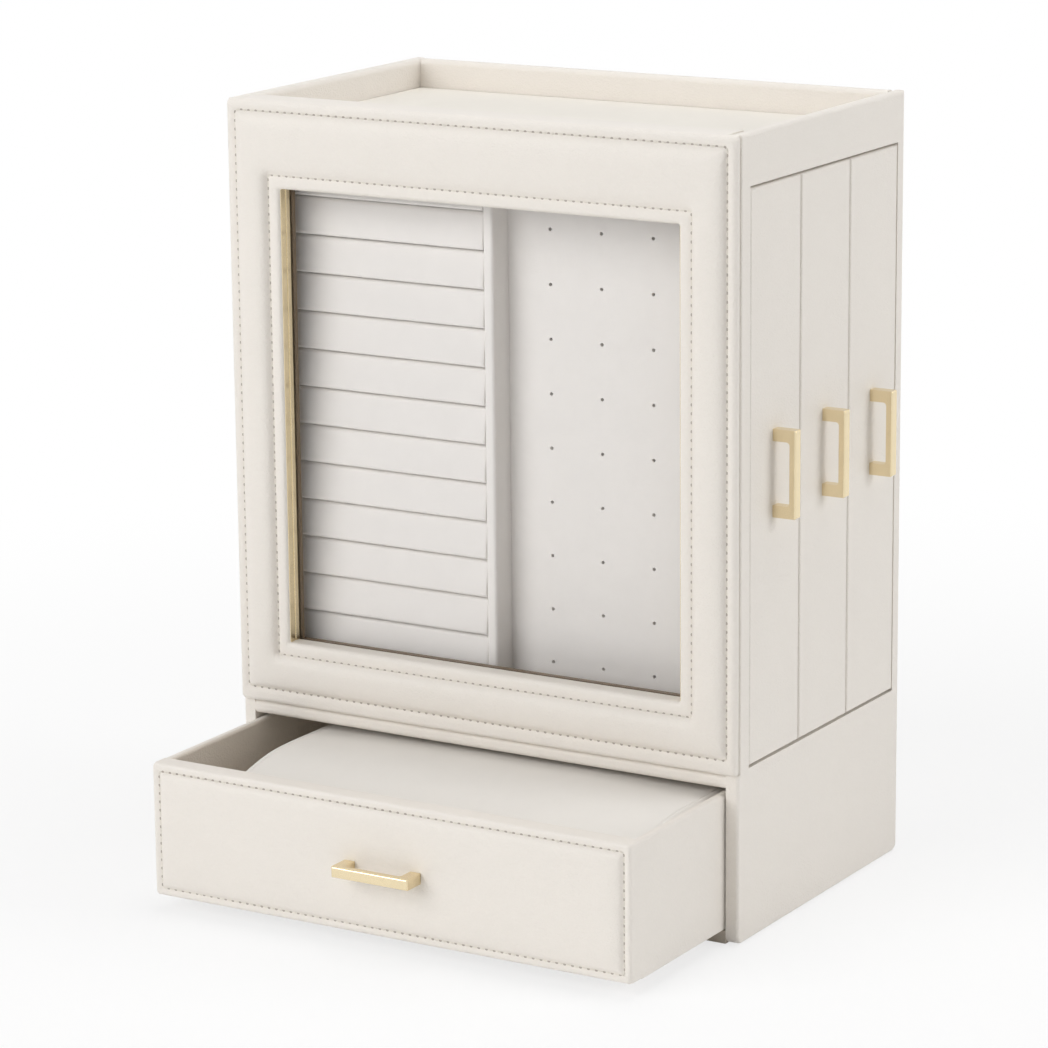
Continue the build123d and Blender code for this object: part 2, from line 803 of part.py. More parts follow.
# Watch cushion: crowned from front to back and from side to side, with sides drawn in between its corners.
cushion_x0 = bin_x1 + bin_divider_thickness + cushion_gap
cushion_x1 = drawer_inner_x - cushion_gap
cushion_y0 = drawer_box_y + cushion_gap
cushion_y1 = drawer_back_y - cushion_gap
cushion_mid_x = (cushion_x0 + cushion_x1) / 2
cushion_mid_y = (cushion_y0 + cushion_y1) / 2
cushion_base = drawer_floor_top
cushion_peak = drawer_top - cushion_drop
with BuildPart() as watch_cushion:
    with BuildSketch(Plane.YZ.offset(cushion_x0)):
        with BuildLine():
            Polyline(
                (cushion_y0, cushion_peak - cushion_crown_y),
                (cushion_y0, cushion_base),
                (cushion_y1, cushion_base),
                (cushion_y1, cushion_peak - cushion_crown_y),
            )
            ThreePointArc(
                (cushion_y1, cushion_peak - cushion_crown_y),
                (cushion_mid_y, cushion_peak),
                (cushion_y0, cushion_peak - cushion_crown_y),
            )
        make_face()
    extrude(amount=cushion_x1 - cushion_x0)
    with BuildSketch(Plane.XZ.offset(-cushion_mid_y)):
        with BuildLine():
            Polyline(
                (cushion_x0, cushion_peak - cushion_crown_x),
                (cushion_x0, cushion_base),
                (cushion_x1, cushion_base),
                (cushion_x1, cushion_peak - cushion_crown_x),
            )
            ThreePointArc(
                (cushion_x1, cushion_peak - cushion_crown_x),
                (cushion_mid_x, cushion_peak),
                (cushion_x0, cushion_peak - cushion_crown_x),
            )
        make_face()
    extrude(amount=cushion_y1 - cushion_y0, both=True, mode=Mode.INTERSECT)
    with BuildSketch(Plane.XY.offset(cushion_base)):
        with BuildLine():
            ThreePointArc(
                (cushion_x0, cushion_y0),
                (cushion_mid_x, cushion_y0 + cushion_draw_in),
                (cushion_x1, cushion_y0),
            )
            ThreePointArc(
                (cushion_x1, cushion_y0),
                (cushion_x1 - cushion_draw_in, cushion_mid_y),
                (cushion_x1, cushion_y1),
            )
            ThreePointArc(
                (cushion_x1, cushion_y1),
                (cushion_mid_x, cushion_y1 - cushion_draw_in),
                (cushion_x0, cushion_y1),
            )
            ThreePointArc(
                (cushion_x0, cushion_y1),
                (cushion_x0 + cushion_draw_in, cushion_mid_y),
                (cushion_x0, cushion_y0),
            )
        make_face()
    extrude(amount=cushion_peak, both=True, mode=Mode.INTERSECT)
save(watch_cushion, "watch_cushion")

with BuildPart() as bottom_handle:
    add(bottom_handle_place * drawer_handle())
    add(bottom_screw_holes, mode=Mode.SUBTRACT)
save(bottom_handle, "bottom_drawer_handle")

with BuildPart() as bottom_handle_screws:
    add(bottom_handle_place * handle_screws(bottom_head_face))
save(bottom_handle_screws, "bottom_drawer_handle_screws")
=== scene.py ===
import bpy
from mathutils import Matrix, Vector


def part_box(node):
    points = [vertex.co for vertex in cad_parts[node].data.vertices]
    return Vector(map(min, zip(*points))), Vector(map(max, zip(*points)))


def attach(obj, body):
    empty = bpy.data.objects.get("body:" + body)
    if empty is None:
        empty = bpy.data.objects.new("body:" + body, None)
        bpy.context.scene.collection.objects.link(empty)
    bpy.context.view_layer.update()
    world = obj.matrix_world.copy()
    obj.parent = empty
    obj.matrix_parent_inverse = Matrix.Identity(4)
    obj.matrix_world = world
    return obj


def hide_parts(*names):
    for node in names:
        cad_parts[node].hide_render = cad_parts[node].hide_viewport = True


bl_info = {
    "name": "Leather jewelry cabinet",
    "version": (1, 0, 0),
    "blender": (4, 5, 0),
    "location": "View3D > Sidebar > Cabinet",
    "description": "Makes a jewelry cabinet's finishes, padding, stitching, rolls, cushion and stage",
    "category": "Object",
}

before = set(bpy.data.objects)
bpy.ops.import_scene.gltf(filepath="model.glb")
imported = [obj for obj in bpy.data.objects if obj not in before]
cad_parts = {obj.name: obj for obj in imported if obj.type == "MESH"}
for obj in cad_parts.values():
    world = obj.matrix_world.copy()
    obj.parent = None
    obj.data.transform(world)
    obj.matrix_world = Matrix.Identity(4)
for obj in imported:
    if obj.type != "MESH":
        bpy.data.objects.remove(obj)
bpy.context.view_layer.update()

import math

import bmesh
import bpy
import numpy as np
from bpy.props import FloatProperty, FloatVectorProperty, PointerProperty
from bpy.types import Operator, Panel, PropertyGroup
from mathutils import Matrix, Vector, noise

MM = 0.001
DRAWERS = (1, 2, 3)
WHITE = (1.0, 1.0, 1.0, 1.0)
INWARD = np.array([1, -1, 1, -1])  # from the low and high bounds of two axes to the middle


# Sizes and colours

def as_length(name, description, millimetres):
    return FloatProperty(
        name=name, description=description, default=millimetres * MM, min=0.0, unit="LENGTH", precision=5
    )


def as_colour(name, description, red, green, blue):
    """A colour given as the eye sees it on a screen, from 0 to 255, and kept in linear light."""
    linear = [((c / 255 + 0.055) / 1.055) ** 2.4 if c > 10 else c / 255 / 12.92 for c in (red, green, blue)]
    return FloatVectorProperty(
        name=name, description=description, subtype="COLOR", size=3, min=0.0, max=1.0, default=linear
    )


def as_share(name, description, default, top=1.0):
    return FloatProperty(name=name, description=description, default=default, min=0.0, max=top)


class CabinetColours(PropertyGroup):
    leather: as_colour("Leather", "Cream leather of the outer boards", 240, 234, 226)
    drawer_inside: as_colour("Drawer inside", "Lining paper inside the bottom drawer", 240, 231, 219)
    tray: as_colour("Tray", "Lining of the open tray", 242, 237, 228)
    velvet: as_colour("Velvet", "Velvet of the rolls and the upright drawers' insides", 244, 240, 236)
    cushion: as_colour("Cushion", "Velvet of the watch cushion", 246, 242, 236)
    board: as_colour("Board", "Fabric on the hidden boards and rails", 205, 195, 182)
    thread: as_colour("Thread", "Sewing thread", 238, 232, 222)
    # Painted shade: the needle holes get this dark colour in place of the shadow in real holes.
    stitch_hole_shade: as_colour("Stitch hole", "Shadow in the needle holes", 184, 175, 165)
    gold: as_colour("Gold", "Plated handles, hooks and window trim", 240, 223, 186)
    steel: as_colour("Steel", "Screws", 190, 190, 192)
    retainer: as_colour("Retainer", "Dark frame behind the glass", 118, 100, 78)
    felt: as_colour("Felt", "Felt under the base", 160, 152, 142)
    floor: as_colour("Floor", "Floor and backdrop", 250, 250, 250)


class PaddingSizes(PropertyGroup):
    outer_stitch: as_length("Outer stitch inset", "From the panel's edge to the outer stitches", 4.75)
    outer_stitch_low: as_length("Lower outer stitch inset", "The same along the lower edge", 6.85)
    lip: as_length("Window lip", "From the inner stitch line to the window", 6.0)
    crown: as_length("Crown", "How far the padding stands out between the stitch lines", 2.6)
    stitch_sink: as_length("Stitch sink", "How deep a stitch line lies in the leather", 0.55)
    wrap: as_length("Wrap", "Thickness of the leather round the board's edges", 1.2)
    edge: as_length("Edge rounding", "Rounding of the panel's front edge", 2.2)
    lip_edge: as_length("Lip rounding", "Rounding of the window's edge", 2.2)
    seam: as_length("Seam rounding", "Rounding where the panel meets the sides", 1.0)
    side_depth: as_length("Side depth", "How far back the panel's leather shows on the sides", 4.2)
    seam_gap: as_length("Seam gap", "Open gap between that leather and the side panels", 0.7)
    strip: as_length("Strip thickness", "Thickness of the gold strips in the window's jambs", 0.8)
    drawer_stitch: as_length("Drawer stitch inset", "From the front's edge to its stitch line", 3.5)
    drawer_edge: as_length("Drawer edge rounding", "Rounding of the drawer front's edge", 1.3)
    roll_pitch: as_length("Roll pitch", "From one ring roll to the next", 16.9)
    roll_gap: as_length("Roll gap", "Between two ring rolls", 0.8)
    roll_lean: as_length("Roll lean", "How far a roll's face leans back at its top", 1.9)
    roll_lower: as_length("Roll lower rounding", "Rounding of a roll's lower edge", 1.3)
    roll_upper: as_length("Roll upper rounding", "Rounding of a roll's upper edge", 2.1)
    cushion_crown: as_length("Cushion crown", "Fall of the cushion towards front and rear", 13.5)
    cushion_end: as_length("Cushion end fall", "Fall of the cushion towards its two ends", 1.8)
    cushion_edge: as_length("Cushion edge", "Rounding of the cushion's upper edge", 3.6)
    unevenness: as_length("Unevenness", "How far hand-laid padding strays from its form", 0.16)


class StitchSizes(PropertyGroup):
    pitch: as_length("Pitch", "From one stitch to the next", 3.75)
    thread: as_length("Thread radius", "Half the thickness of the thread", 0.36)
    gap: as_length("Gap", "Between two threads at a needle hole", 0.95)
    hole: as_length("Hole radius", "Half the width of a needle hole", 0.72)


class StageSettings(PropertyGroup):
    key: FloatProperty(name="Key light", description="Power of the key light", default=39.0, unit="POWER")
    fill: FloatProperty(name="Fill light", description="Power of the fill light", default=15.5, unit="POWER")
    top: FloatProperty(name="Top light", description="Power of the top light", default=18.0, unit="POWER")
    ambient: as_share("Ambient", "Strength of the even light from all round", 0.21, top=5.0)
    lens: FloatProperty(
        name="Lens", description="Focal length on a 36 mm sensor", default=144.92, unit="CAMERA"
    )


# Meshes

def finished_mesh(name, verts, faces, sharp=35.0, materials=(), face_materials=None):
    """A closed mesh with merged points and outward faces, smooth apart from edges over the sharp angle."""
    mesh = bpy.data.meshes.new(name)
    mesh.from_pydata([tuple(v) for v in verts], [], faces)
    for material in materials:
        mesh.materials.append(material)
    if face_materials is not None:
        mesh.polygons.foreach_set("material_index", face_materials)
    work = bmesh.new()
    work.from_mesh(mesh)
    bmesh.ops.remove_doubles(work, verts=work.verts, dist=1e-7)
    bmesh.ops.dissolve_degenerate(work, edges=work.edges, dist=1e-8)
    bmesh.ops.recalc_face_normals(work, faces=work.faces)
    for face in work.faces:
        face.smooth = True
    limit = math.radians(sharp)
    for edge in work.edges:
        edge.smooth = len(edge.link_faces) == 2 and edge.calc_face_angle(0.0) < limit
    work.to_mesh(mesh)
    work.free()
    return mesh


def added(name, data):
    made = bpy.data.objects.new(name, data)
    bpy.context.scene.collection.objects.link(made)
    return made


def place(mesh, body):
    """Puts a mesh into the scene on its body."""
    piece = added(mesh.name, mesh)
    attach(piece, body)
    return piece


def place_padding(name, form, sharp, finish, body, node_name):
    """Puts a padded form, given by its points and faces, in the place of a CAD node."""
    piece = place(finished_mesh(name, *form, sharp, (material(finish),)), body)
    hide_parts(node_name)


def rectangle_ring(low_x, high_x, low_z, high_z, radius, steps):
    """Points round a rectangle with rounded corners, as many for every size, so that rings can be joined.

    steps are the spans along the width, along the height and round a corner."""
    along_x, along_z, round_corner = steps
    radius = max(min(radius, (high_x - low_x) / 2, (high_z - low_z) / 2), 0.0)
    corners = (
        (low_x + radius, low_z + radius, math.pi),
        (high_x - radius, low_z + radius, 1.5 * math.pi),
        (high_x - radius, high_z - radius, 0.0),
        (low_x + radius, high_z - radius, 0.5 * math.pi),
    )
    points = []
    for index, (x, z, start) in enumerate(corners):
        arc = start + np.arange(round_corner + 1) / round_corner * math.pi / 2
        points += [(x + radius * math.cos(a), z + radius * math.sin(a)) for a in arc]
        x1, z1, next_start = corners[(index + 1) % 4]
        begin = points[-1]
        end = (x1 + radius * math.cos(next_start), z1 + radius * math.sin(next_start))
        spans = along_x if index % 2 == 0 else along_z
        for step in range(1, spans):
            share = step / spans
            points.append((begin[0] + (end[0] - begin[0]) * share, begin[1] + (end[1] - begin[1]) * share))
    return np.array(points)


def upright_bounds(low, high):
    return np.array([low.x, high.x, low.z, high.z])


def flat_bounds(low, high):
    return np.array([low.x, high.x, low.y, high.y])


def upright_ring(bounds, y, radius, steps):
    """A rectangle_ring that stands at one y."""
    ring = rectangle_ring(*bounds, radius, steps)
    return np.column_stack([ring[:, 0], np.full(len(ring), y), ring[:, 1]])


def joined_rings(rings, closed):
    """Points and faces of rings that are joined one to the next, and the last to the first if closed."""
    count = len(rings[0])
    faces = []
    for index in range(len(rings) if closed else len(rings) - 1):
        here, there = index * count, (index + 1) % len(rings) * count
        for j in range(count):
            k = (j + 1) % count
            faces.append((here + j, here + k, there + k, there + j))
    return np.concatenate(rings), faces


def capped_rings(rings):
    """Joined rings with a face over the first ring and one over the last."""
    verts, faces = joined_rings(rings, False)
    count = len(rings[0])
    faces += [tuple(range(count)), tuple(range(len(verts) - count, len(verts)))]
    return verts, faces


def add_part(verts, faces, part):
    """Adds a part's points and faces to those of a mesh."""
    first = len(verts)
    verts += list(part[0])
    faces += [tuple(first + i for i in face) for face in part[1]]


def quarter(start, end, steps, outward=False):
    """Pairs along a quarter turn from start to end. outward picks the side to which it bulges."""
    pairs = []
    for step in range(steps + 1):
        a = step / steps * math.pi / 2
        first, second = (math.sin(a), 1 - math.cos(a)) if outward else (1 - math.cos(a), math.sin(a))
        pairs.append((start[0] + (end[0] - start[0]) * first, start[1] + (end[1] - start[1]) * second))
    return pairs


def uneven(x, y, z, size, depth):
    """A small smooth stray from the true form, the same at each run."""
    return depth * noise.noise(Vector((x, y, z)) / size)


# Stitching

THREAD_SIDES, THREAD_SECTIONS, HOLE_SIDES = 6, 7, 8
THREAD_TAPER = 0.86  # how far a stitch thins out at its ends
THREAD_LIFT, THREAD_ARCH = 0.55, 1.25  # height at its middle and fall to its ends, in thread radii
HOLE_RINGS = ((-0.10, 1.0), (-0.16, 0.72))  # height in mm and share of the hole's radius
HOLE_PIT, HOLE_CAP = 0.25 * MM, 0.17 * MM
STITCH_REACH = 1.1 * MM  # how far from a stitch line the leather is drawn in


def stitch_places(ring, pitch):
    """Middle points and directions of evenly spaced stitches round a closed line of points."""
    closed = np.vstack([ring, ring[:1]])
    steps = np.linalg.norm(np.diff(closed, axis=0), axis=1)
    along = np.concatenate([[0.0], np.cumsum(steps)])
    count = round(along[-1] / pitch)
    at = (np.arange(count) + 0.5) * along[-1] / count

    def point(distance):
        return np.array([np.interp(distance % along[-1], along, values) for values in closed.T])

    near = pitch * 0.25
    return [(point(d), point(d + near) - point(d - near), point(d + along[-1] / count / 2)) for d in at]


def stitching(name, ring, surface_y, body):
    """One row of thread in the leather, with a small dark lens of painted shade at the needle hole between
    each two stitches.

    ring is the line in x and z, and surface_y the leather's height under it."""
    sizes = bpy.context.scene.stitch_sizes
    half = (sizes.pitch - sizes.gap) / 2
    verts, faces, kinds = [], [], []
    sides, sections, rim = THREAD_SIDES, THREAD_SECTIONS, HOLE_SIDES
    for middle, direction, hole in stitch_places(ring, sizes.pitch):
        direction = direction / np.linalg.norm(direction)
        across = np.array([-direction[1], direction[0]])
        rings = []
        for section in range(sections):
            share = -1 + 2 * section / (sections - 1)
            radius = sizes.thread * math.sqrt(max(1 - THREAD_TAPER * share**4, 0.0))
            lift = sizes.thread * (THREAD_LIFT - THREAD_ARCH * share**2)
            circle = []
            for side in range(sides):
                turn = 2 * math.pi * side / sides
                x, z = middle + direction * half * share + across * radius * math.cos(turn)
                circle.append((x, surface_y - lift - radius * math.sin(turn), z))
            rings.append(circle)
        add_part(verts, faces, capped_rings(rings))
        kinds += [0] * (len(faces) - len(kinds))
        # The needle hole is a small dark lens just proud of the leather: painted shade standing in for the
        # hole's shadow.
        first = len(verts)
        for height, share in HOLE_RINGS:
            for side in range(rim):
                turn = 2 * math.pi * side / rim
                spot = hole + (direction * math.cos(turn) + across * math.sin(turn)) * sizes.hole * share
                verts.append((spot[0], surface_y + height * MM, spot[1]))
        pit, cap = len(verts), len(verts) + 1
        verts += [(hole[0], surface_y + HOLE_PIT, hole[1]), (hole[0], surface_y - HOLE_CAP, hole[1])]
        for side in range(rim):
            a, b = first + side, first + (side + 1) % rim
            faces += [(a, b, b + rim, a + rim), (a, b, pit), (a + rim, b + rim, cap)]
            kinds += [1, 1, 1]
    mesh = finished_mesh(name, verts, faces, 60.0, (material("thread"), material("needle_hole_shade")), kinds)
    place(mesh, body)


def sunk_by_stitches(distance, depth):
    """How deep the leather is drawn in near a stitch line, at a distance from it."""
    return depth * math.exp(-((distance / STITCH_REACH) ** 2))


# Materials

def node(tree, kind, inputs=None, **settings):
    """Adds a node. inputs maps its sockets, by name or place, to values or to the sockets that feed them."""
    made = tree.nodes.new(f"ShaderNode{kind}")
    for key, value in settings.items():
        setattr(made, key, value)
    for key, value in (inputs or {}).items():
        if isinstance(value, bpy.types.NodeSocket):
            tree.links.new(value, made.inputs[key])
        else:
            made.inputs[key].default_value = value
    return made


def effect(name, inputs, outputs, build):
    """A node group that several materials share, made once. inputs are (name, kind, default)."""
    found = bpy.data.node_groups.get(name)
    if found:
        return found
    group = bpy.data.node_groups.new(name, "ShaderNodeTree")
    for socket, kind, default in inputs:
        made = group.interface.new_socket(name=socket, in_out="INPUT", socket_type=f"NodeSocket{kind}")
        made.default_value = default
    for socket, kind in outputs:
        group.interface.new_socket(name=socket, in_out="OUTPUT", socket_type=f"NodeSocket{kind}")
    results = build(group, group.nodes.new("NodeGroupInput").outputs)
    end = group.nodes.new("NodeGroupOutput")
    for socket, source in results.items():
        group.links.new(source, end.inputs[socket])
    return group


def maths(tree, operation, first, second=0.0, third=0.0):
    return node(tree, "Math", {0: first, 1: second, 2: third}, operation=operation).outputs[0]


def object_place(tree):
    return node(tree, "TexCoord").outputs["Object"]


def noise_texture(tree, at, scale, detail, roughness=0.5, distortion=0.0):
    inputs = {"Vector": at, "Scale": scale, "Detail": detail, "Roughness": roughness}
    return node(tree, "TexNoise", {**inputs, "Distortion": distortion}).outputs["Fac"]


def ranged(tree, value, low, high, start=0.0, end=1.0, **settings):
    """Takes the range from start to end to the range from low to high."""
    inputs = {"Value": value, "From Min": start, "From Max": end, "To Min": low, "To Max": high}
    return node(tree, "MapRange", inputs, **settings).outputs[0]


def tinted(tree, colour, share, low, high):
    """The colour made darker or lighter, from low to high, as share goes from 0 to 1."""
    level = ranged(tree, share, low, high)
    return node(tree, "VectorMath", {0: colour, "Scale": level}, operation="SCALE").outputs[0]


def shaded(tree, feed, share, rise):
    """The fed colour, darker by the fed spread at share 0 and lighter by rise times it at share 1."""
    low = maths(tree, "SUBTRACT", 1.0, feed["Shade Spread"])
    high = maths(tree, "MULTIPLY_ADD", feed["Shade Spread"], rise, 1.0)
    return tinted(tree, feed["Color"], share, low, high)


COLOUR_INPUT = ("Color", "Color", (0.8, 0.8, 0.8, 1.0))
SURFACE_OUTPUTS = (("Color", "Color"), ("Roughness", "Float"), ("Height", "Float"))


def leather_grain():
    def build(tree, feed):
        at = object_place(tree)
        pebbles = node(
            tree,
            "TexVoronoi",
            {"Vector": at, "Scale": feed["Grain Scale"], "Smoothness": 0.45, "Randomness": 0.95},
            feature="SMOOTH_F1",
        ).outputs["Distance"]
        pores = noise_texture(tree, at, 2600.0, 2.0, 0.6)
        creases = noise_texture(tree, at, 95.0, 3.0, 0.55)
        clouds = noise_texture(tree, at, 14.0, 2.0)
        grain = maths(tree, "MULTIPLY_ADD", pores, 0.35, pebbles)
        height = maths(tree, "MULTIPLY_ADD", creases, 0.9, grain)
        shade = maths(tree, "MULTIPLY_ADD", grain, 0.35, maths(tree, "MULTIPLY", clouds, 0.65))
        colour = shaded(tree, feed, shade, 0.6)
        rough = maths(tree, "MULTIPLY_ADD", grain, 0.10, feed["Roughness"])
        rough = maths(tree, "MULTIPLY_ADD", clouds, 0.06, rough)
        return {"Color": colour, "Roughness": rough, "Height": height}

    inputs = (
        COLOUR_INPUT,
        ("Roughness", "Float", 0.45),
        ("Grain Scale", "Float", 1250.0),
        ("Shade Spread", "Float", 0.03),
    )
    return effect("leather_grain", inputs, SURFACE_OUTPUTS, build)


LINED_BELOW = -0.05  # place times facing, across the piece: negative on the side that faces its middle


def lined_leather():
    """Leather on a board's outer side and lining on the side that faces the middle of the piece."""
    def build(tree, feed):
        at = node(tree, "TexCoord")
        place_x = node(tree, "SeparateXYZ", {0: at.outputs["Object"]}).outputs["X"]
        facing_x = node(tree, "SeparateXYZ", {0: at.outputs["Normal"]}).outputs["X"]
        outward = maths(tree, "MULTIPLY", place_x, facing_x)
        inside = maths(tree, "LESS_THAN", outward, LINED_BELOW)
        colour = node(
            tree, "Mix", {0: inside, 6: feed["Color"], 7: feed["Lining"]}, data_type="RGBA"
        ).outputs[2]
        inputs = {"Color": colour, "Roughness": feed["Roughness"]}
        grain = node(tree, "Group", inputs, node_tree=leather_grain())
        return {socket: grain.outputs[socket] for socket, _ in SURFACE_OUTPUTS}

    inputs = (
        COLOUR_INPUT,
        ("Roughness", "Float", 0.45),
        ("Lining", "Color", (0.6, 0.5, 0.45, 1.0)),
    )
    return effect("lined_leather", inputs, SURFACE_OUTPUTS, build)


def velvet_nap():
    def build(tree, feed):
        at = object_place(tree)
        fibres = noise_texture(tree, at, feed["Fibre Scale"], 3.0, 0.7)
        strokes = noise_texture(tree, at, 42.0, 3.0, 0.6, 0.6)
        shade = maths(tree, "MULTIPLY_ADD", strokes, 0.6, maths(tree, "MULTIPLY", fibres, 0.4))
        colour = shaded(tree, feed, shade, 0.7)
        rough = maths(tree, "MULTIPLY_ADD", fibres, 0.12, 0.84)
        height = maths(tree, "MULTIPLY_ADD", strokes, 0.5, fibres)
        return {"Color": colour, "Roughness": rough, "Height": height}

    inputs = (
        COLOUR_INPUT,
        ("Fibre Scale", "Float", 3200.0),
        ("Shade Spread", "Float", 0.06),
    )
    return effect("velvet_nap", inputs, SURFACE_OUTPUTS, build)


def plated_metal():
    def build(tree, feed):
        at = object_place(tree)
        smears = noise_texture(tree, at, 160.0, 4.0, 0.6)
        stretched = node(tree, "Mapping", {"Vector": at, "Scale": (400.0, 5200.0, 5200.0)}).outputs[0]
        brushing = noise_texture(tree, stretched, 1.0, 2.0)
        colour = tinted(tree, feed["Color"], smears, 0.93, 1.05)
        rough = maths(tree, "MULTIPLY_ADD", smears, 0.10, feed["Roughness"])
        return {"Color": colour, "Roughness": rough, "Height": brushing}

    return effect("plated_metal", (COLOUR_INPUT, ("Roughness", "Float", 0.2)), SURFACE_OUTPUTS, build)


LEATHER_COAT = {"Coat Weight": 0.06, "Coat Roughness": 0.4}
# The effect, the colour, the effect's values, the depth of the bumps in mm and the shader's own values.
FINISHES = {
    "cream_leather": (leather_grain, "leather", {"Roughness": 0.42}, 0.16, LEATHER_COAT),
    "lined_leather": (
        lined_leather, "leather", {"Roughness": 0.42, "Lining": "drawer_inside"}, 0.16, LEATHER_COAT
    ),
    "lining_paper": (leather_grain, "drawer_inside", {"Roughness": 0.6, "Grain Scale": 1800.0}, 0.08, {}),
    "tray_suede": (velvet_nap, "tray", {}, 0.15, {"Sheen Weight": 0.15}),
    "grey_velvet": (velvet_nap, "velvet", {}, 0.22, {"Sheen Weight": 0.25}),
    "cushion_velvet": (velvet_nap, "cushion", {"Shade Spread": 0.04}, 0.2, {"Sheen Weight": 0.2}),
    "board_fabric": (velvet_nap, "board", {"Fibre Scale": 1800.0}, 0.2, {}),
    "base_felt": (velvet_nap, "felt", {"Fibre Scale": 1500.0, "Shade Spread": 0.12}, 0.5, {}),
    "retainer_lacquer": (plated_metal, "retainer", {"Roughness": 0.4}, 0.02, {}),
    "thread": (velvet_nap, "thread", {"Fibre Scale": 5200.0, "Shade Spread": 0.08}, 0.2, {}),
    # Painted shade of the needle holes.
    "needle_hole_shade": (velvet_nap, "stitch_hole_shade", {"Shade Spread": 0.15}, 0.1, {}),
    "plated_gold": (plated_metal, "gold", {"Roughness": 0.17}, 0.02, {"Metallic": 1.0}),
    "screw_steel": (plated_metal, "steel", {"Roughness": 0.28}, 0.03, {"Metallic": 1.0}),
}


def new_material(label):
    made = bpy.data.materials.new(label)
    made.use_nodes = True
    return made, made.node_tree, made.node_tree.nodes["Principled BSDF"]


def mixed_surface(tree, share, shader, other):
    """Gives a material its shader, and the other one by a share."""
    mix = node(tree, "MixShader", {0: share, 1: shader.outputs[0], 2: other.outputs[0]})
    tree.links.new(mix.outputs[0], tree.nodes["Material Output"].inputs["Surface"])


def directly_seen(tree, path, mirrored):
    """1 on rays from the camera or through glass, and mirrored on rays that a surface throws back."""
    seen = maths(tree, "MAXIMUM", path.outputs["Is Camera Ray"], path.outputs["Is Transmission Ray"])
    return maths(tree, "MAXIMUM", seen, maths(tree, "MULTIPLY", path.outputs["Is Glossy Ray"], mirrored))


def chosen_colour(name):
    return (*getattr(bpy.context.scene.cabinet_colours, name), 1.0)


def material(name):
    """The material of one finish, made once. Its name isn't that of one of the CAD's own materials."""
    label = f"{name}_finish"
    found = bpy.data.materials.get(label)
    if found:
        return found
    if name == "window_glass":
        return glass_material(label)
    group, colour, values, bump_depth, shader_values = FINISHES[name]
    made, tree, shader = new_material(label)
    surface = node(tree, "Group", node_tree=group())
    for socket, value in {"Color": colour, **values}.items():
        surface.inputs[socket].default_value = chosen_colour(value) if isinstance(value, str) else value
    bumps = {"Height": surface.outputs["Height"], "Strength": 1.0, "Distance": bump_depth * MM}
    bump = node(tree, "Bump", bumps)
    tree.links.new(surface.outputs["Color"], shader.inputs["Base Color"])
    tree.links.new(surface.outputs["Roughness"], shader.inputs["Roughness"])
    tree.links.new(bump.outputs["Normal"], shader.inputs["Normal"])
    for socket, value in shader_values.items():
        shader.inputs[socket].default_value = value
    return made


def glass_material(label):
    """Clear glass that lets the lamps and the light of the room through to what stands behind it."""
    made, tree, shader = new_material(label)
    clear_values = {"Base Color": WHITE, "Roughness": 0.0, "IOR": 1.25, "Transmission Weight": 1.0}
    for socket, value in clear_values.items():
        shader.inputs[socket].default_value = value
    clear = node(tree, "BsdfTransparent", {"Color": WHITE})
    path = node(tree, "LightPath")
    passing = maths(tree, "MAXIMUM", path.outputs["Is Shadow Ray"], path.outputs["Is Diffuse Ray"])
    mixed_surface(tree, passing, shader, clear)
    return made


def dress(names, finish, bevel=0.0):
    """Gives CAD nodes their material, and rounds their edges a little where the solid has them square."""
    for name in names:
        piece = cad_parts[name]
        piece.data.materials.clear()
        piece.data.materials.append(material(finish))
        if bevel:
            weld = piece.modifiers.new("weld", "WELD")
            weld.merge_threshold = 1e-6
            flat = piece.modifiers.new("flat_faces", "DECIMATE")
            flat.decimate_type = "DISSOLVE"
            flat.angle_limit = math.radians(0.5)
            rounding = piece.modifiers.new("rounding", "BEVEL")
            rounding.width = bevel
            rounding.segments = 3
            rounding.limit_method = "ANGLE"
            rounding.angle_limit = math.radians(40.0)
            shading = piece.modifiers.new("shading", "WEIGHTED_NORMAL")
            shading.keep_sharp = False


# Pieces

class CabinetBoards(Operator):
    """Dress the cabinet's boards in leather and fabric"""

    bl_idname = "jewelry_cabinet.boards"
    bl_label = "Boards"

    def execute(self, context):
        dress(("left_side_panel", "right_side_panel", "back_panel"), "cream_leather")
        dress(("front_rail", "tray_front_wall"), "cream_leather")
        dress(("tray_floor",), "tray_suede")
        dress(("shelf_board", "base_board", "bay_partitions"), "board_fabric")
        dress(("drawer_guides", "window_panel_core"), "board_fabric")
        dress(("base_felt",), "base_felt")
        return {"FINISHED"}


def pad_profile(share):
    """Height of the padding, from 0 to 1, at a share of the way from one stitch line to the other."""
    return (1 - abs(2 * share - 1) ** 3.0) ** 0.85


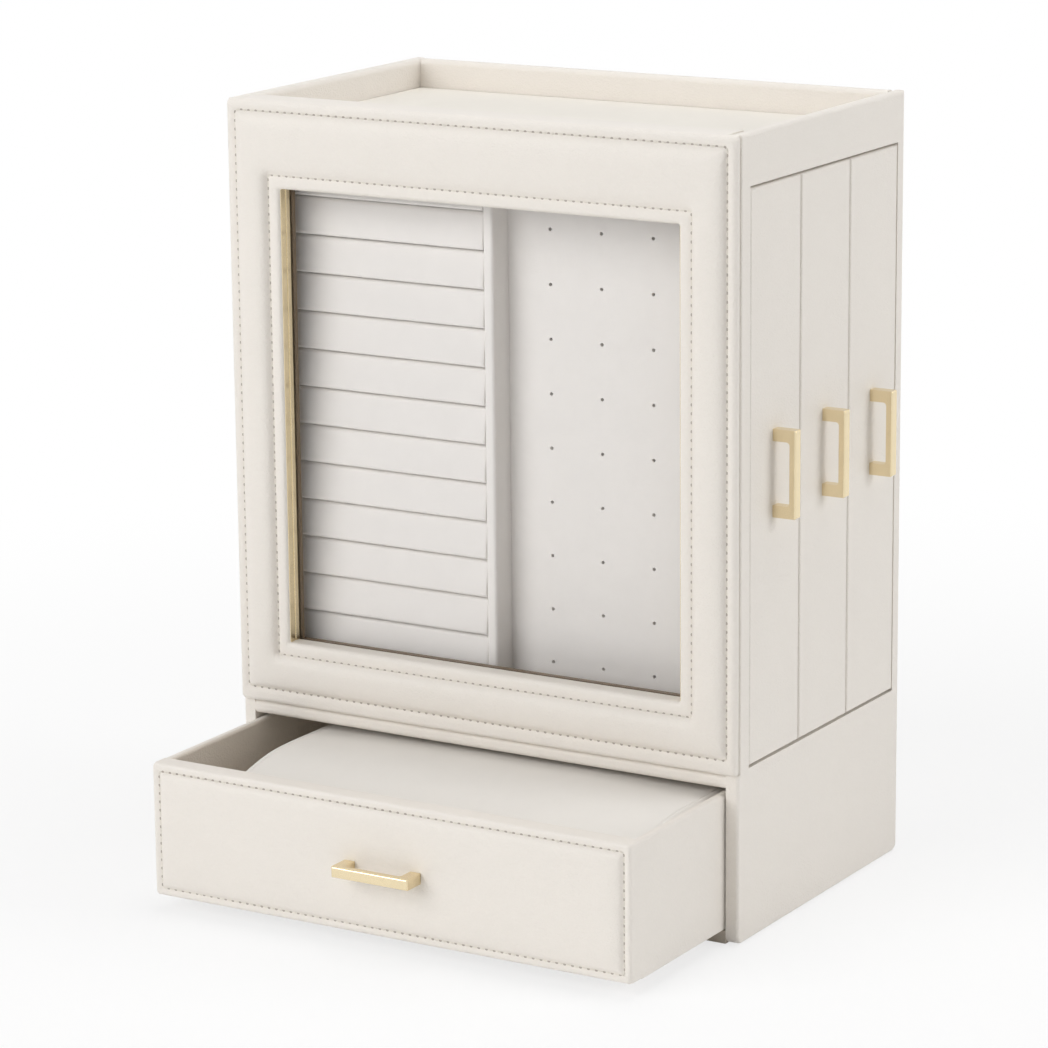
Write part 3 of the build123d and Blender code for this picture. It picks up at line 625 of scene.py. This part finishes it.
class WindowPanel(Operator):
    """Make the padded leather frame round the window, with both of its stitch lines"""

    bl_idname = "jewelry_cabinet.window_panel"
    bl_label = "Window panel"

    def execute(self, context):
        sizes = context.scene.padding_sizes
        low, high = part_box("window_panel_cover")
        window_low, window_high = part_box("window_trim")
        core_low, core_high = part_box("window_panel_core")
        strip, stitch = sizes.strip, sizes.outer_stitch
        trim_setback = 1.2 * MM
        rear, front = high.y, window_low.y - trim_setback
        outline = upright_bounds(low, high)
        window = np.array([window_low.x + strip, window_high.x - strip, window_low.z, window_high.z])
        outer = outline + INWARD * np.array([stitch, stitch, sizes.outer_stitch_low, stitch])
        inner = window - INWARD * sizes.lip
        edge, lip_edge, seam = sizes.edge, sizes.lip_edge, sizes.seam

        # Roundings of the corners, seen from the front.
        lap_corner, seam_corner, side_corner = 0.6 * MM, 1.2 * MM, 1.6 * MM
        edge_corner, border_corner, outer_corner = 2.2 * MM, 1.8 * MM, 1.5 * MM
        inner_corner, window_corner, rear_corner, cavity_corner = 1.4 * MM, 1.2 * MM, 1.0 * MM, 0.5 * MM
        pad_corner, pad_corner_swell = 1.5, 26  # in mm, at the stitch lines and added between them

        # Rings from the rear of the outer edge to the rear of the window's: bounds, y and corner rounding.
        # Behind the lap over the side panels the cover is as wide as they leave it.
        sideways = np.array([1, -1, 0, 0])
        between = outline + sideways * (core_low.x - sizes.wrap - low.x)
        lap = front + sizes.side_depth - sizes.seam_gap
        rings = [(between, rear, lap_corner), (between, lap, lap_corner)]
        rings += [(outline + sideways * seam, lap, lap_corner)]
        curve = quarter((seam, lap), (0, lap - seam), 4)[1:]
        rings += [(outline + sideways * i, y, seam_corner) for i, y in curve]
        rings += [(outline, lap - seam + (front + edge - lap + seam) * 0.5, side_corner)]
        curve = quarter((0, front + edge), (edge, front), 6)
        rings += [(outline + INWARD * i, y, edge_corner) for i, y in curve]
        border = outer - outline
        for share in (0.62, 0.72, 0.8, 0.87, 0.93, 1.0):
            fall = sunk_by_stitches((1 - share) * sizes.outer_stitch, sizes.stitch_sink)
            rings.append((outline + border * share, front + fall, border_corner))
        width = window[0] - sizes.lip - outer[0]
        rising = [0.02, 0.04, 0.07, 0.11, 0.16, 0.22, 0.29, 0.37, 0.46]
        for share in rising + [0.5] + [1 - s for s in reversed(rising)]:
            from_stitch = min(share, 1 - share) * width
            fall = sunk_by_stitches(from_stitch, sizes.stitch_sink)
            lift = sizes.crown * pad_profile(share)
            corner = (pad_corner + pad_corner_swell * share * (1 - share)) * MM
            rings.append((outer + (inner - outer) * share, front + fall - lift, corner))
        for share in (0.0, 0.06, 0.12, 0.2, 0.3, 0.45, 0.6):
            fall = sunk_by_stitches(share * sizes.lip, sizes.stitch_sink)
            rings.append((inner + (window - inner) * share, front + fall, inner_corner))
        # The gold strips lie in a rebate of the two jambs, from their front edge to the rear.
        rebate = np.array([-strip, strip, 0, 0])
        upright = np.array([0, 0, 1, 1])
        curve = quarter((lip_edge, front), (0, front + lip_edge), 8, True)[1:]
        ahead = [(i, y) for i, y in curve if y < window_low.y]
        behind = [(i, y) for i, y in curve if y >= window_low.y]
        rings += [(window - INWARD * i, y, window_corner) for i, y in ahead]
        step = lip_edge - math.sqrt(lip_edge**2 - (front + lip_edge - window_low.y) ** 2)
        rings += [(window - INWARD * step, window_low.y, window_corner)]
        rings += [(window + rebate - INWARD * step * upright, window_low.y, window_corner)]
        rings += [(window + rebate - INWARD * i * upright, y, window_corner) for i, y in behind]
        rings += [(window + rebate, rear, rear_corner)]
        # The cavity that the board fills.
        board = upright_bounds(core_low, core_high)
        board_window = window - INWARD * sizes.wrap
        rings += [(board_window, y, cavity_corner) for y in (rear, core_low.y)]
        rings += [(board, y, cavity_corner) for y in (core_low.y, rear)]

        made = [upright_ring(*ring, (296, 316, 10)) for ring in rings]
        for (_, y, _), ring in zip(rings, made):
            if y > front + sizes.stitch_sink + 0.1 * MM:
                continue
            share = min(max((front + 0.3 * MM - y) / sizes.crown, 0.0), 1.0)
            for point in ring:
                broad = uneven(point[0], 0, point[2], 42 * MM, 1.0)
                fine = uneven(point[0], 1, point[2], 13 * MM, 1.0)
                point[1] -= sizes.unevenness * (0.25 + 0.75 * share) * (broad + 0.45 * fine)
        place_padding(
            "window_panel_padding", joined_rings(made, True), 50.0, "cream_leather",
            "root", "window_panel_cover",
        )
        for side, bounds, radius in (("outer", outer, outer_corner), ("inner", inner, inner_corner)):
            line = rectangle_ring(*bounds, radius, (60, 60, 6))
            stitching(f"window_{side}_stitches", line, front + sizes.stitch_sink, "root")
        return {"FINISHED"}


class WindowGlazing(Operator):
    """Dress the window's glass, its gold trim and the dark retainer behind it"""

    bl_idname = "jewelry_cabinet.glazing"
    bl_label = "Window glazing"

    def execute(self, context):
        dress(("window_glass",), "window_glass")
        dress(("window_trim",), "plated_gold", 0.15 * MM)
        dress(("glass_retainer",), "retainer_lacquer")
        return {"FINISHED"}


def flat_pad(name, node_name, rounding, crown, body):
    """A thin lining with a rounded edge and a slight crown, in the space of a flat CAD sheet."""
    low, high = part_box(node_name)
    outline = flat_bounds(low, high)
    reach = min(high.x - low.x, high.y - low.y) / 2
    rings = [(outline + INWARD * reach, low.z), (outline + INWARD * rounding * 0.3, low.z)]
    curve = quarter((0, high.z - crown - rounding), (rounding, high.z - crown), 4)
    rings += [(outline + INWARD * i, z) for i, z in curve]
    for share in (0.04, 0.1, 0.2, 0.35, 0.5, 0.65, 0.8, 1.0):
        inset = rounding + (reach - rounding) * share
        rings.append((outline + INWARD * inset, high.z - crown * (1 - share) ** 2))
    made = []
    for bounds, z in rings:
        ring = rectangle_ring(*bounds, rounding, (60, 40, 3))
        made.append(np.column_stack([ring, np.full(len(ring), z)]))
    place_padding(name, joined_rings(made, False), 50.0, "tray_suede", body, node_name)


class TopTray(Operator):
    """Make the soft lining of the open tray"""

    bl_idname = "jewelry_cabinet.tray"
    bl_label = "Top tray"

    def execute(self, context):
        flat_pad("tray_lining_pad", "tray_lining", 0.35 * MM, 0.25 * MM, "root")
        return {"FINISHED"}


class UprightDrawers(Operator):
    """Dress the three upright drawers, their fronts and their handles"""

    bl_idname = "jewelry_cabinet.upright_drawers"
    bl_label = "Upright drawers"

    def execute(self, context):
        for i in DRAWERS:
            name = f"side_drawer_{i}"
            dress((f"{name}_front",), "cream_leather")
            dress((f"{name}_frame", f"{name}_back_board"), "grey_velvet")
            dress((f"{name}_handle",), "plated_gold", 0.3 * MM)
            dress((f"{name}_handle_screws",), "screw_steel")
        parts = ("divider", "earring_board", "roll_backing")
        dress([f"side_drawer_1_{part}" for part in parts], "grey_velvet")
        for i in DRAWERS[1:]:
            dress((f"side_drawer_{i}_hook_rail",), "grey_velvet")
            dress((f"side_drawer_{i}_necklace_hooks",), "plated_gold")
        return {"FINISHED"}


def ring_roll(sizes, low, high, bottom, top):
    """One roll: its face leans back towards the top, under the next roll's lower edge."""
    lower, upper, lean = sizes.roll_lower, sizes.roll_upper, sizes.roll_lean
    lower_steps, face_steps, upper_steps = 6, 14, 7
    section = [(high.y, bottom), ((high.y + low.y) / 2, bottom)]
    for step in range(lower_steps + 1):
        a = step / lower_steps * math.pi / 2
        section.append((low.y + lower * (1 - math.sin(a)), bottom + lower * (1 - math.cos(a))))
    rise = top - bottom - lower - upper
    for step in range(1, face_steps + 1):
        share = step / face_steps
        section.append((low.y + lean * share**1.4, bottom + lower + rise * share))
    for step in range(1, upper_steps + 1):
        a = step / upper_steps * math.pi / 2
        section.append((low.y + lean + upper * (1 - math.cos(a)), top - upper * (1 - math.sin(a))))
    section.append((high.y, top))
    # Across the roll, closest together at its rounded ends.
    length = high.x - low.x
    end_reach, end_rounding, front_reach = 1.6 * MM, 0.6 * MM, 5 * MM
    stations = [s * MM for s in (0.0, 0.2, 0.5, 1.0, 1.6, 2.4)]
    inner = list(np.linspace(stations[-1], length - stations[-1], 34))
    stations = stations[:-1] + inner + [length - s for s in reversed(stations[:-1])]
    rings = []
    for along in stations:
        x = low.x + along
        draw = max(1 - min(along, length - along) / end_reach, 0.0)
        shrink = end_rounding * (1 - math.sqrt(1 - draw**2))
        ring = []
        for y, z in section:
            wave = uneven(x, y, z, 26 * MM, 0.18 * MM)
            front = max(0.0, 1 - (y - low.y) / front_reach)
            ring.append((x, y + front * (shrink + wave), z))
        rings.append(ring)
    return capped_rings(rings)


class RingRolls(Operator):
    """Make the velvet rolls that hold rings"""

    bl_idname = "jewelry_cabinet.ring_rolls"
    bl_label = "Ring rolls"

    def execute(self, context):
        low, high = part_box("side_drawer_1_ring_rolls")
        sizes = context.scene.padding_sizes
        verts, faces = [], []
        count = round((high.z - low.z) / sizes.roll_pitch)
        for index in range(count):
            top = high.z - index * sizes.roll_pitch
            bottom = top - sizes.roll_pitch + sizes.roll_gap if index < count - 1 else low.z
            add_part(verts, faces, ring_roll(sizes, low, high, bottom, top))
        place_padding(
            "side_drawer_1_roll_cushions", (verts, faces), 60.0, "grey_velvet",
            "side_drawer_1", "side_drawer_1_ring_rolls",
        )
        return {"FINISHED"}


class NecklacePockets(Operator):
    """Make the gathered fabric pockets of the necklace drawers"""

    bl_idname = "jewelry_cabinet.necklace_pockets"
    bl_label = "Necklace pockets"

    def execute(self, context):
        for i in DRAWERS[1:]:
            low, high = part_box(f"side_drawer_{i}_pocket")
            wall, least_depth, least_gap = 1.6 * MM, 5 * MM, 0.4 * MM
            gathers, gather_depth, hem_depth = 34, 0.7 * MM, 0.8
            columns, rows = 120, 24
            outside, inside = [], []
            for row in range(rows + 1):
                up = row / rows
                z = low.z + up * (high.z - low.z)
                inner_z = max(z, low.z + wall)
                hem = math.exp(-(((1 - up) * 55 - 5) / 2.0) ** 2)
                ring_out, ring_in = [], []
                for column in range(columns + 1):
                    s = column / columns
                    x = low.x + s * (high.x - low.x)
                    bulge = (1 - (2 * s - 1) ** 2) * (high.y - least_depth - low.y)
                    belly = 0.86 + 0.14 * math.sin(math.pi * min(up * 1.15, 1.0))
                    fold = math.sin(2 * math.pi * s * gathers + 1.3 * math.sin(9 * s))
                    gather = gather_depth * fold * up**2 * (1 - (2 * s - 1) ** 6)
                    depth = least_depth + max(bulge * belly + gather - hem * hem_depth * MM, 0.0)
                    ring_out.append((x, high.y - depth, z))
                    inner_x = low.x + wall + s * (high.x - low.x - 2 * wall)
                    ring_in.append((inner_x, high.y - max(depth - wall, wall + least_gap), inner_z))
                ring_out += [(high.x, high.y, z), (low.x, high.y, z)]
                back = high.y - wall
                ring_in += [(high.x - wall, back, inner_z), (low.x + wall, back, inner_z)]
                outside.append(np.array(ring_out))
                inside.append(np.array(ring_in))
            rings = outside + inside[::-1]
            rings[rows] = rings[rows] - np.array([0, 0, 0.3 * MM])  # lowers the hem's outer edge
            drawer = f"side_drawer_{i}"
            place_padding(
                f"{drawer}_gathered_pocket", capped_rings(rings), 50.0, "grey_velvet",
                drawer, f"{drawer}_pocket",
            )
        return {"FINISHED"}


def padded_drawer_front(sizes):
    low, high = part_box("bottom_drawer_front_cover")
    core_low, core_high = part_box("bottom_drawer_front_core")
    rise, rise_reach = 1.4 * MM, 9 * MM
    board_corner, side_corner, edge_corner, line_corner = 0.4 * MM, 0.8 * MM, 1.6 * MM, 1.2 * MM
    field_corner, field_corner_swell = 1.2, 5.0  # in mm, at the stitch line and added inside it
    rear, front = high.y, low.y + rise
    outline = upright_bounds(low, high)
    board = upright_bounds(core_low, core_high)
    reach = (high.z - low.z) / 2
    board_reach = (core_high.z - core_low.z) / 2
    edge, stitch = sizes.drawer_edge, sizes.drawer_stitch
    rings = [(board + INWARD * board_reach, core_low.y, 0.0)]
    rings += [(board, core_low.y, board_corner), (board, rear, board_corner)]
    rings += [(outline, rear + (front + edge - rear) * s, side_corner) for s in (0.0, 0.5, 0.85)]
    curve = quarter((0, front + edge), (edge, front), 6)
    rings += [(outline + INWARD * i, y, edge_corner) for i, y in curve]
    insets = [edge + (stitch - edge) * s for s in (0.3, 0.5, 0.66, 0.8, 0.9, 1.0)]
    field = (0.25, 0.5, 0.8, 1.2, 1.7, 2.3, 3.0, 4.0, 5.2, 6.6, 8.4, 11, 14, 17, 20, 23)
    insets += [stitch + s * MM for s in field]
    for inset in insets + [reach]:
        past = max(inset - stitch, 0.0) / rise_reach
        lift = rise * (1 - (1 - min(past, 1.0)) ** 2.6) ** 0.8 if past > 0 else 0.0
        fall = sunk_by_stitches(abs(inset - stitch), sizes.stitch_sink)
        corner = field_corner + field_corner_swell * min(past, 1.0)
        rings.append((outline + INWARD * inset, front + fall - lift, corner * MM))
    made = [upright_ring(*ring, (330, 84, 8)) for ring in rings]
    for (_, y, _), ring in zip(rings, made):
        if y < front + sizes.stitch_sink + 0.05 * MM:
            for point in ring:
                wave = uneven(point[0], 5, point[2], 36 * MM, 1.0)
                point[1] += sizes.unevenness * 0.8 * wave
    place_padding(
        "bottom_drawer_front_padding", joined_rings(made, False), 50.0, "cream_leather",
        "bottom_drawer", "bottom_drawer_front_cover",
    )
    line = rectangle_ring(*(outline + INWARD * stitch), line_corner, (60, 30, 6))
    stitching("bottom_drawer_stitches", line, front + sizes.stitch_sink, "bottom_drawer")


class BottomDrawer(Operator):
    """Make the bottom drawer's padded, stitched front, and dress its walls, floor, bin and handle"""

    bl_idname = "jewelry_cabinet.bottom_drawer"
    bl_label = "Bottom drawer"

    def execute(self, context):
        padded_drawer_front(context.scene.padding_sizes)
        dress(("bottom_drawer_left_wall", "bottom_drawer_right_wall"), "lined_leather")
        dress(("bottom_drawer_back_wall", "bottom_drawer_floor", "bottom_drawer_bin_divider"), "lining_paper")
        dress(("bottom_drawer_front_core",), "board_fabric")
        dress(("bottom_drawer_handle",), "plated_gold", 0.3 * MM)
        dress(("bottom_drawer_handle_screws",), "screw_steel")
        flat_pad("bottom_drawer_bin_pad", "bottom_drawer_bin_lining", 0.3 * MM, 0.2 * MM, "bottom_drawer")
        return {"FINISHED"}


class WatchCushion(Operator):
    """Make the crowned cushion that watches lie on"""

    bl_idname = "jewelry_cabinet.watch_cushion"
    bl_label = "Watch cushion"

    def execute(self, context):
        low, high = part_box("watch_cushion")
        sizes = context.scene.padding_sizes
        outline = flat_bounds(low, high)
        middle, half = (low + high) / 2, (high - low) / 2
        edge = sizes.cushion_edge
        foot, side_pull, corner = 3 * MM, 1.0 * MM, 5 * MM
        welt_inset, welt_width, welt_sink = 4.4, 0.4, 0.45 * MM

        def shares_at(x, y):
            return (x - middle.x) / half.x, (y - middle.y) / half.y

        def top_at(x, y):
            """Height of the crown: it falls far towards front and rear, and a little towards the ends."""
            along, across = shares_at(x, y)
            fall = math.hypot(sizes.cushion_crown * abs(across) ** 2.3, sizes.cushion_end * along**2)
            return high.z - 0.2 * MM - fall + uneven(x, y, 3, 38 * MM, 0.3 * MM)

        # Rings by their inset, by a share of the side's height, and by how far they lie under the crown.
        rings = [(half.y, 0.0, None), (foot, 0.0, None)]
        rings += [(i, z, None) for i, z in quarter((foot, 0.0), (0.0, 0.06), 3, True)[1:]]
        rings += [(0.0, share, None) for share in (0.3, 0.6, 0.85)]
        rings += [(i, None, fall) for i, fall in quarter((0.0, edge), (edge, 0.0), 8)]
        # A sewn welt runs round the top just inside the edge.
        for inset in (3.9, 4.2, 4.6, 5.0, 5.6, 7, 10, 14, 19, 25, 32, 40, 50, 60):
            fall = welt_sink * math.exp(-(((inset - welt_inset) / welt_width) ** 2))
            rings.append((inset * MM, None, fall))
        rings.append((half.y, None, 0.0))
        made = []
        for inset, share, fall in rings:
            radius = max(corner - inset * 0.5, 0.0)
            ring = rectangle_ring(*(outline + INWARD * inset), radius, (120, 80, 8))
            points = []
            for x, y in ring:
                along, across = shares_at(x, y)
                up = 0.5 if share is None else share
                pull = side_pull * math.sin(math.pi * max(up, 0.0))
                x -= math.copysign(pull * max(1 - across**2, 0.0), along) * abs(along) ** 8
                y -= math.copysign(pull * max(1 - along**2, 0.0), across) * abs(across) ** 8
                crown = top_at(x, y)
                z = crown - fall if share is None else low.z + (crown - edge - low.z) * share
                points.append((x, y, z))
            made.append(np.array(points))
        place_padding(
            "watch_cushion_form", joined_rings(made, False), 60.0, "cushion_velvet",
            "bottom_drawer", "watch_cushion",
        )
        return {"FINISHED"}


# Stage

CABINET_MIDDLE, CABINET_TOP = (0, 0, 0.17), (0, 0, 0.3)
VIEW_ANGLES = (31.0404, 13.6207, -0.5661)
VIEW_POINT = (0.9179, -1.5634, 0.5925)


def area_light(name, location, target, size, power):
    light = bpy.data.lights.new(name, "AREA")
    light.shape = "DISK"
    light.size = size
    light.energy = power
    lamp = added(name, light)
    lamp.location = location
    lamp.rotation_mode = "QUATERNION"
    lamp.rotation_quaternion = (Vector(target) - Vector(location)).to_track_quat("-Z", "Y")


def studio_floor():
    mesh = bpy.data.meshes.new("floor")
    reach = 12.0
    corners = [(-reach, -reach, 0), (reach, -reach, 0), (reach, reach, 0), (-reach, reach, 0)]
    mesh.from_pydata(corners, [], [(0, 1, 2, 3)])
    added("floor", mesh)
    paint, tree, shader = new_material("floor_paint")
    shader.inputs["Base Color"].default_value = chosen_colour("floor")
    shader.inputs["Roughness"].default_value = 0.9
    glow = node(tree, "Emission", {"Color": WHITE, "Strength": 1.0})
    path = node(tree, "LightPath")
    at = object_place(tree)
    distance = node(tree, "VectorMath", {0: at}, operation="LENGTH").outputs["Value"]
    # White away from the cabinet, with its shadow kept close to it.
    white = ranged(tree, distance, 0.72, 1.0, 0.15, 0.75, interpolation_type="SMOOTHSTEP")
    depth = node(tree, "SeparateXYZ", {0: at}).outputs["Y"]
    mirrored = ranged(tree, depth, 0.3, 0.85, -0.9, -0.4)
    share = maths(tree, "MULTIPLY", directly_seen(tree, path, mirrored), white)
    mixed_surface(tree, share, shader, glow)
    mesh.materials.append(paint)


def surroundings(context, ambient):
    world = bpy.data.worlds.new("studio")
    context.scene.world = world
    world.use_nodes = True
    tree = world.node_tree
    tree.nodes.clear()
    path = node(tree, "LightPath")
    # What the metal mirrors: a white backdrop behind the cabinet and a dimmer room in front of it.
    way = node(tree, "SeparateXYZ", {0: node(tree, "TexCoord").outputs["Generated"]})
    room = ranged(tree, way.outputs["Y"], 0.4, 1.0, -0.4, 0.3)
    strength = ranged(tree, directly_seen(tree, path, room), ambient, 1.0)
    sky = node(tree, "Background", {"Color": WHITE, "Strength": strength})
    end = node(tree, "OutputWorld")
    tree.links.new(sky.outputs[0], end.inputs["Surface"])


def studio_camera(context, lens):
    """The photograph's own view. VIEW_ANGLES are azimuth, elevation and roll about the view's direction."""
    azimuth, elevation, roll = (math.radians(a) for a in VIEW_ANGLES)
    back = Vector((
        math.sin(azimuth) * math.cos(elevation),
        -math.cos(azimuth) * math.cos(elevation),
        math.sin(elevation),
    ))
    right = Vector((math.cos(azimuth), math.sin(azimuth), 0.0))
    up = back.cross(right)
    turned_right = math.cos(roll) * right + math.sin(roll) * up
    turned_up = -math.sin(roll) * right + math.cos(roll) * up
    turn = Matrix((turned_right, turned_up, back)).transposed()
    data = bpy.data.cameras.new("camera")
    data.sensor_width = 36.0
    data.lens = lens
    data.clip_start, data.clip_end = 0.05, 60.0
    camera = added("camera", data)
    camera.matrix_world = Matrix.Translation(VIEW_POINT) @ turn.to_4x4()
    context.scene.camera = camera


class StudioStage(Operator):
    """Set up the floor, the light and the camera"""

    bl_idname = "jewelry_cabinet.stage"
    bl_label = "Stage"

    def execute(self, context):
        settings = context.scene.stage_settings
        studio_floor()
        surroundings(context, settings.ambient)
        area_light("key_light", (-0.95, -2.2, 1.3), CABINET_MIDDLE, 2.2, settings.key)
        area_light("fill_light", (2.0, 0.6, 0.9), CABINET_MIDDLE, 1.2, settings.fill)
        area_light("top_light", (0.1, 0.2, 2.2), CABINET_TOP, 1.4, settings.top)
        studio_camera(context, settings.lens)
        context.scene.view_settings.view_transform = "Standard"
        return {"FINISHED"}


class CabinetSidebar(Panel):
    """Lists the makers of the cabinet's pieces and of the stage"""

    bl_idname = "VIEW3D_PT_jewelry_cabinet"
    bl_label = "Jewelry cabinet"
    bl_space_type = "VIEW_3D"
    bl_region_type = "UI"
    bl_category = "Cabinet"

    def draw(self, context):
        for maker in MAKERS:
            self.layout.operator(maker.bl_idname)


MAKERS = (
    CabinetBoards,
    WindowPanel,
    WindowGlazing,
    TopTray,
    UprightDrawers,
    RingRolls,
    NecklacePockets,
    BottomDrawer,
    WatchCushion,
    StudioStage,
)
SETTINGS = {
    "cabinet_colours": CabinetColours,
    "padding_sizes": PaddingSizes,
    "stitch_sizes": StitchSizes,
    "stage_settings": StageSettings,
}


def register():
    for group in SETTINGS.values():
        bpy.utils.register_class(group)
    for maker in (*MAKERS, CabinetSidebar):
        bpy.utils.register_class(maker)
    for name, group in SETTINGS.items():
        setattr(bpy.types.Scene, name, PointerProperty(type=group))


def unregister():
    for name in SETTINGS:
        delattr(bpy.types.Scene, name)
    for maker in (CabinetSidebar, *reversed(MAKERS), *SETTINGS.values()):
        bpy.utils.unregister_class(maker)


def main():
    register()
    for maker in MAKERS:
        group, name = maker.bl_idname.split(".")
        getattr(getattr(bpy.ops, group), name)()
    bpy.context.view_layer.update()


if __name__ == "__main__":
    main()
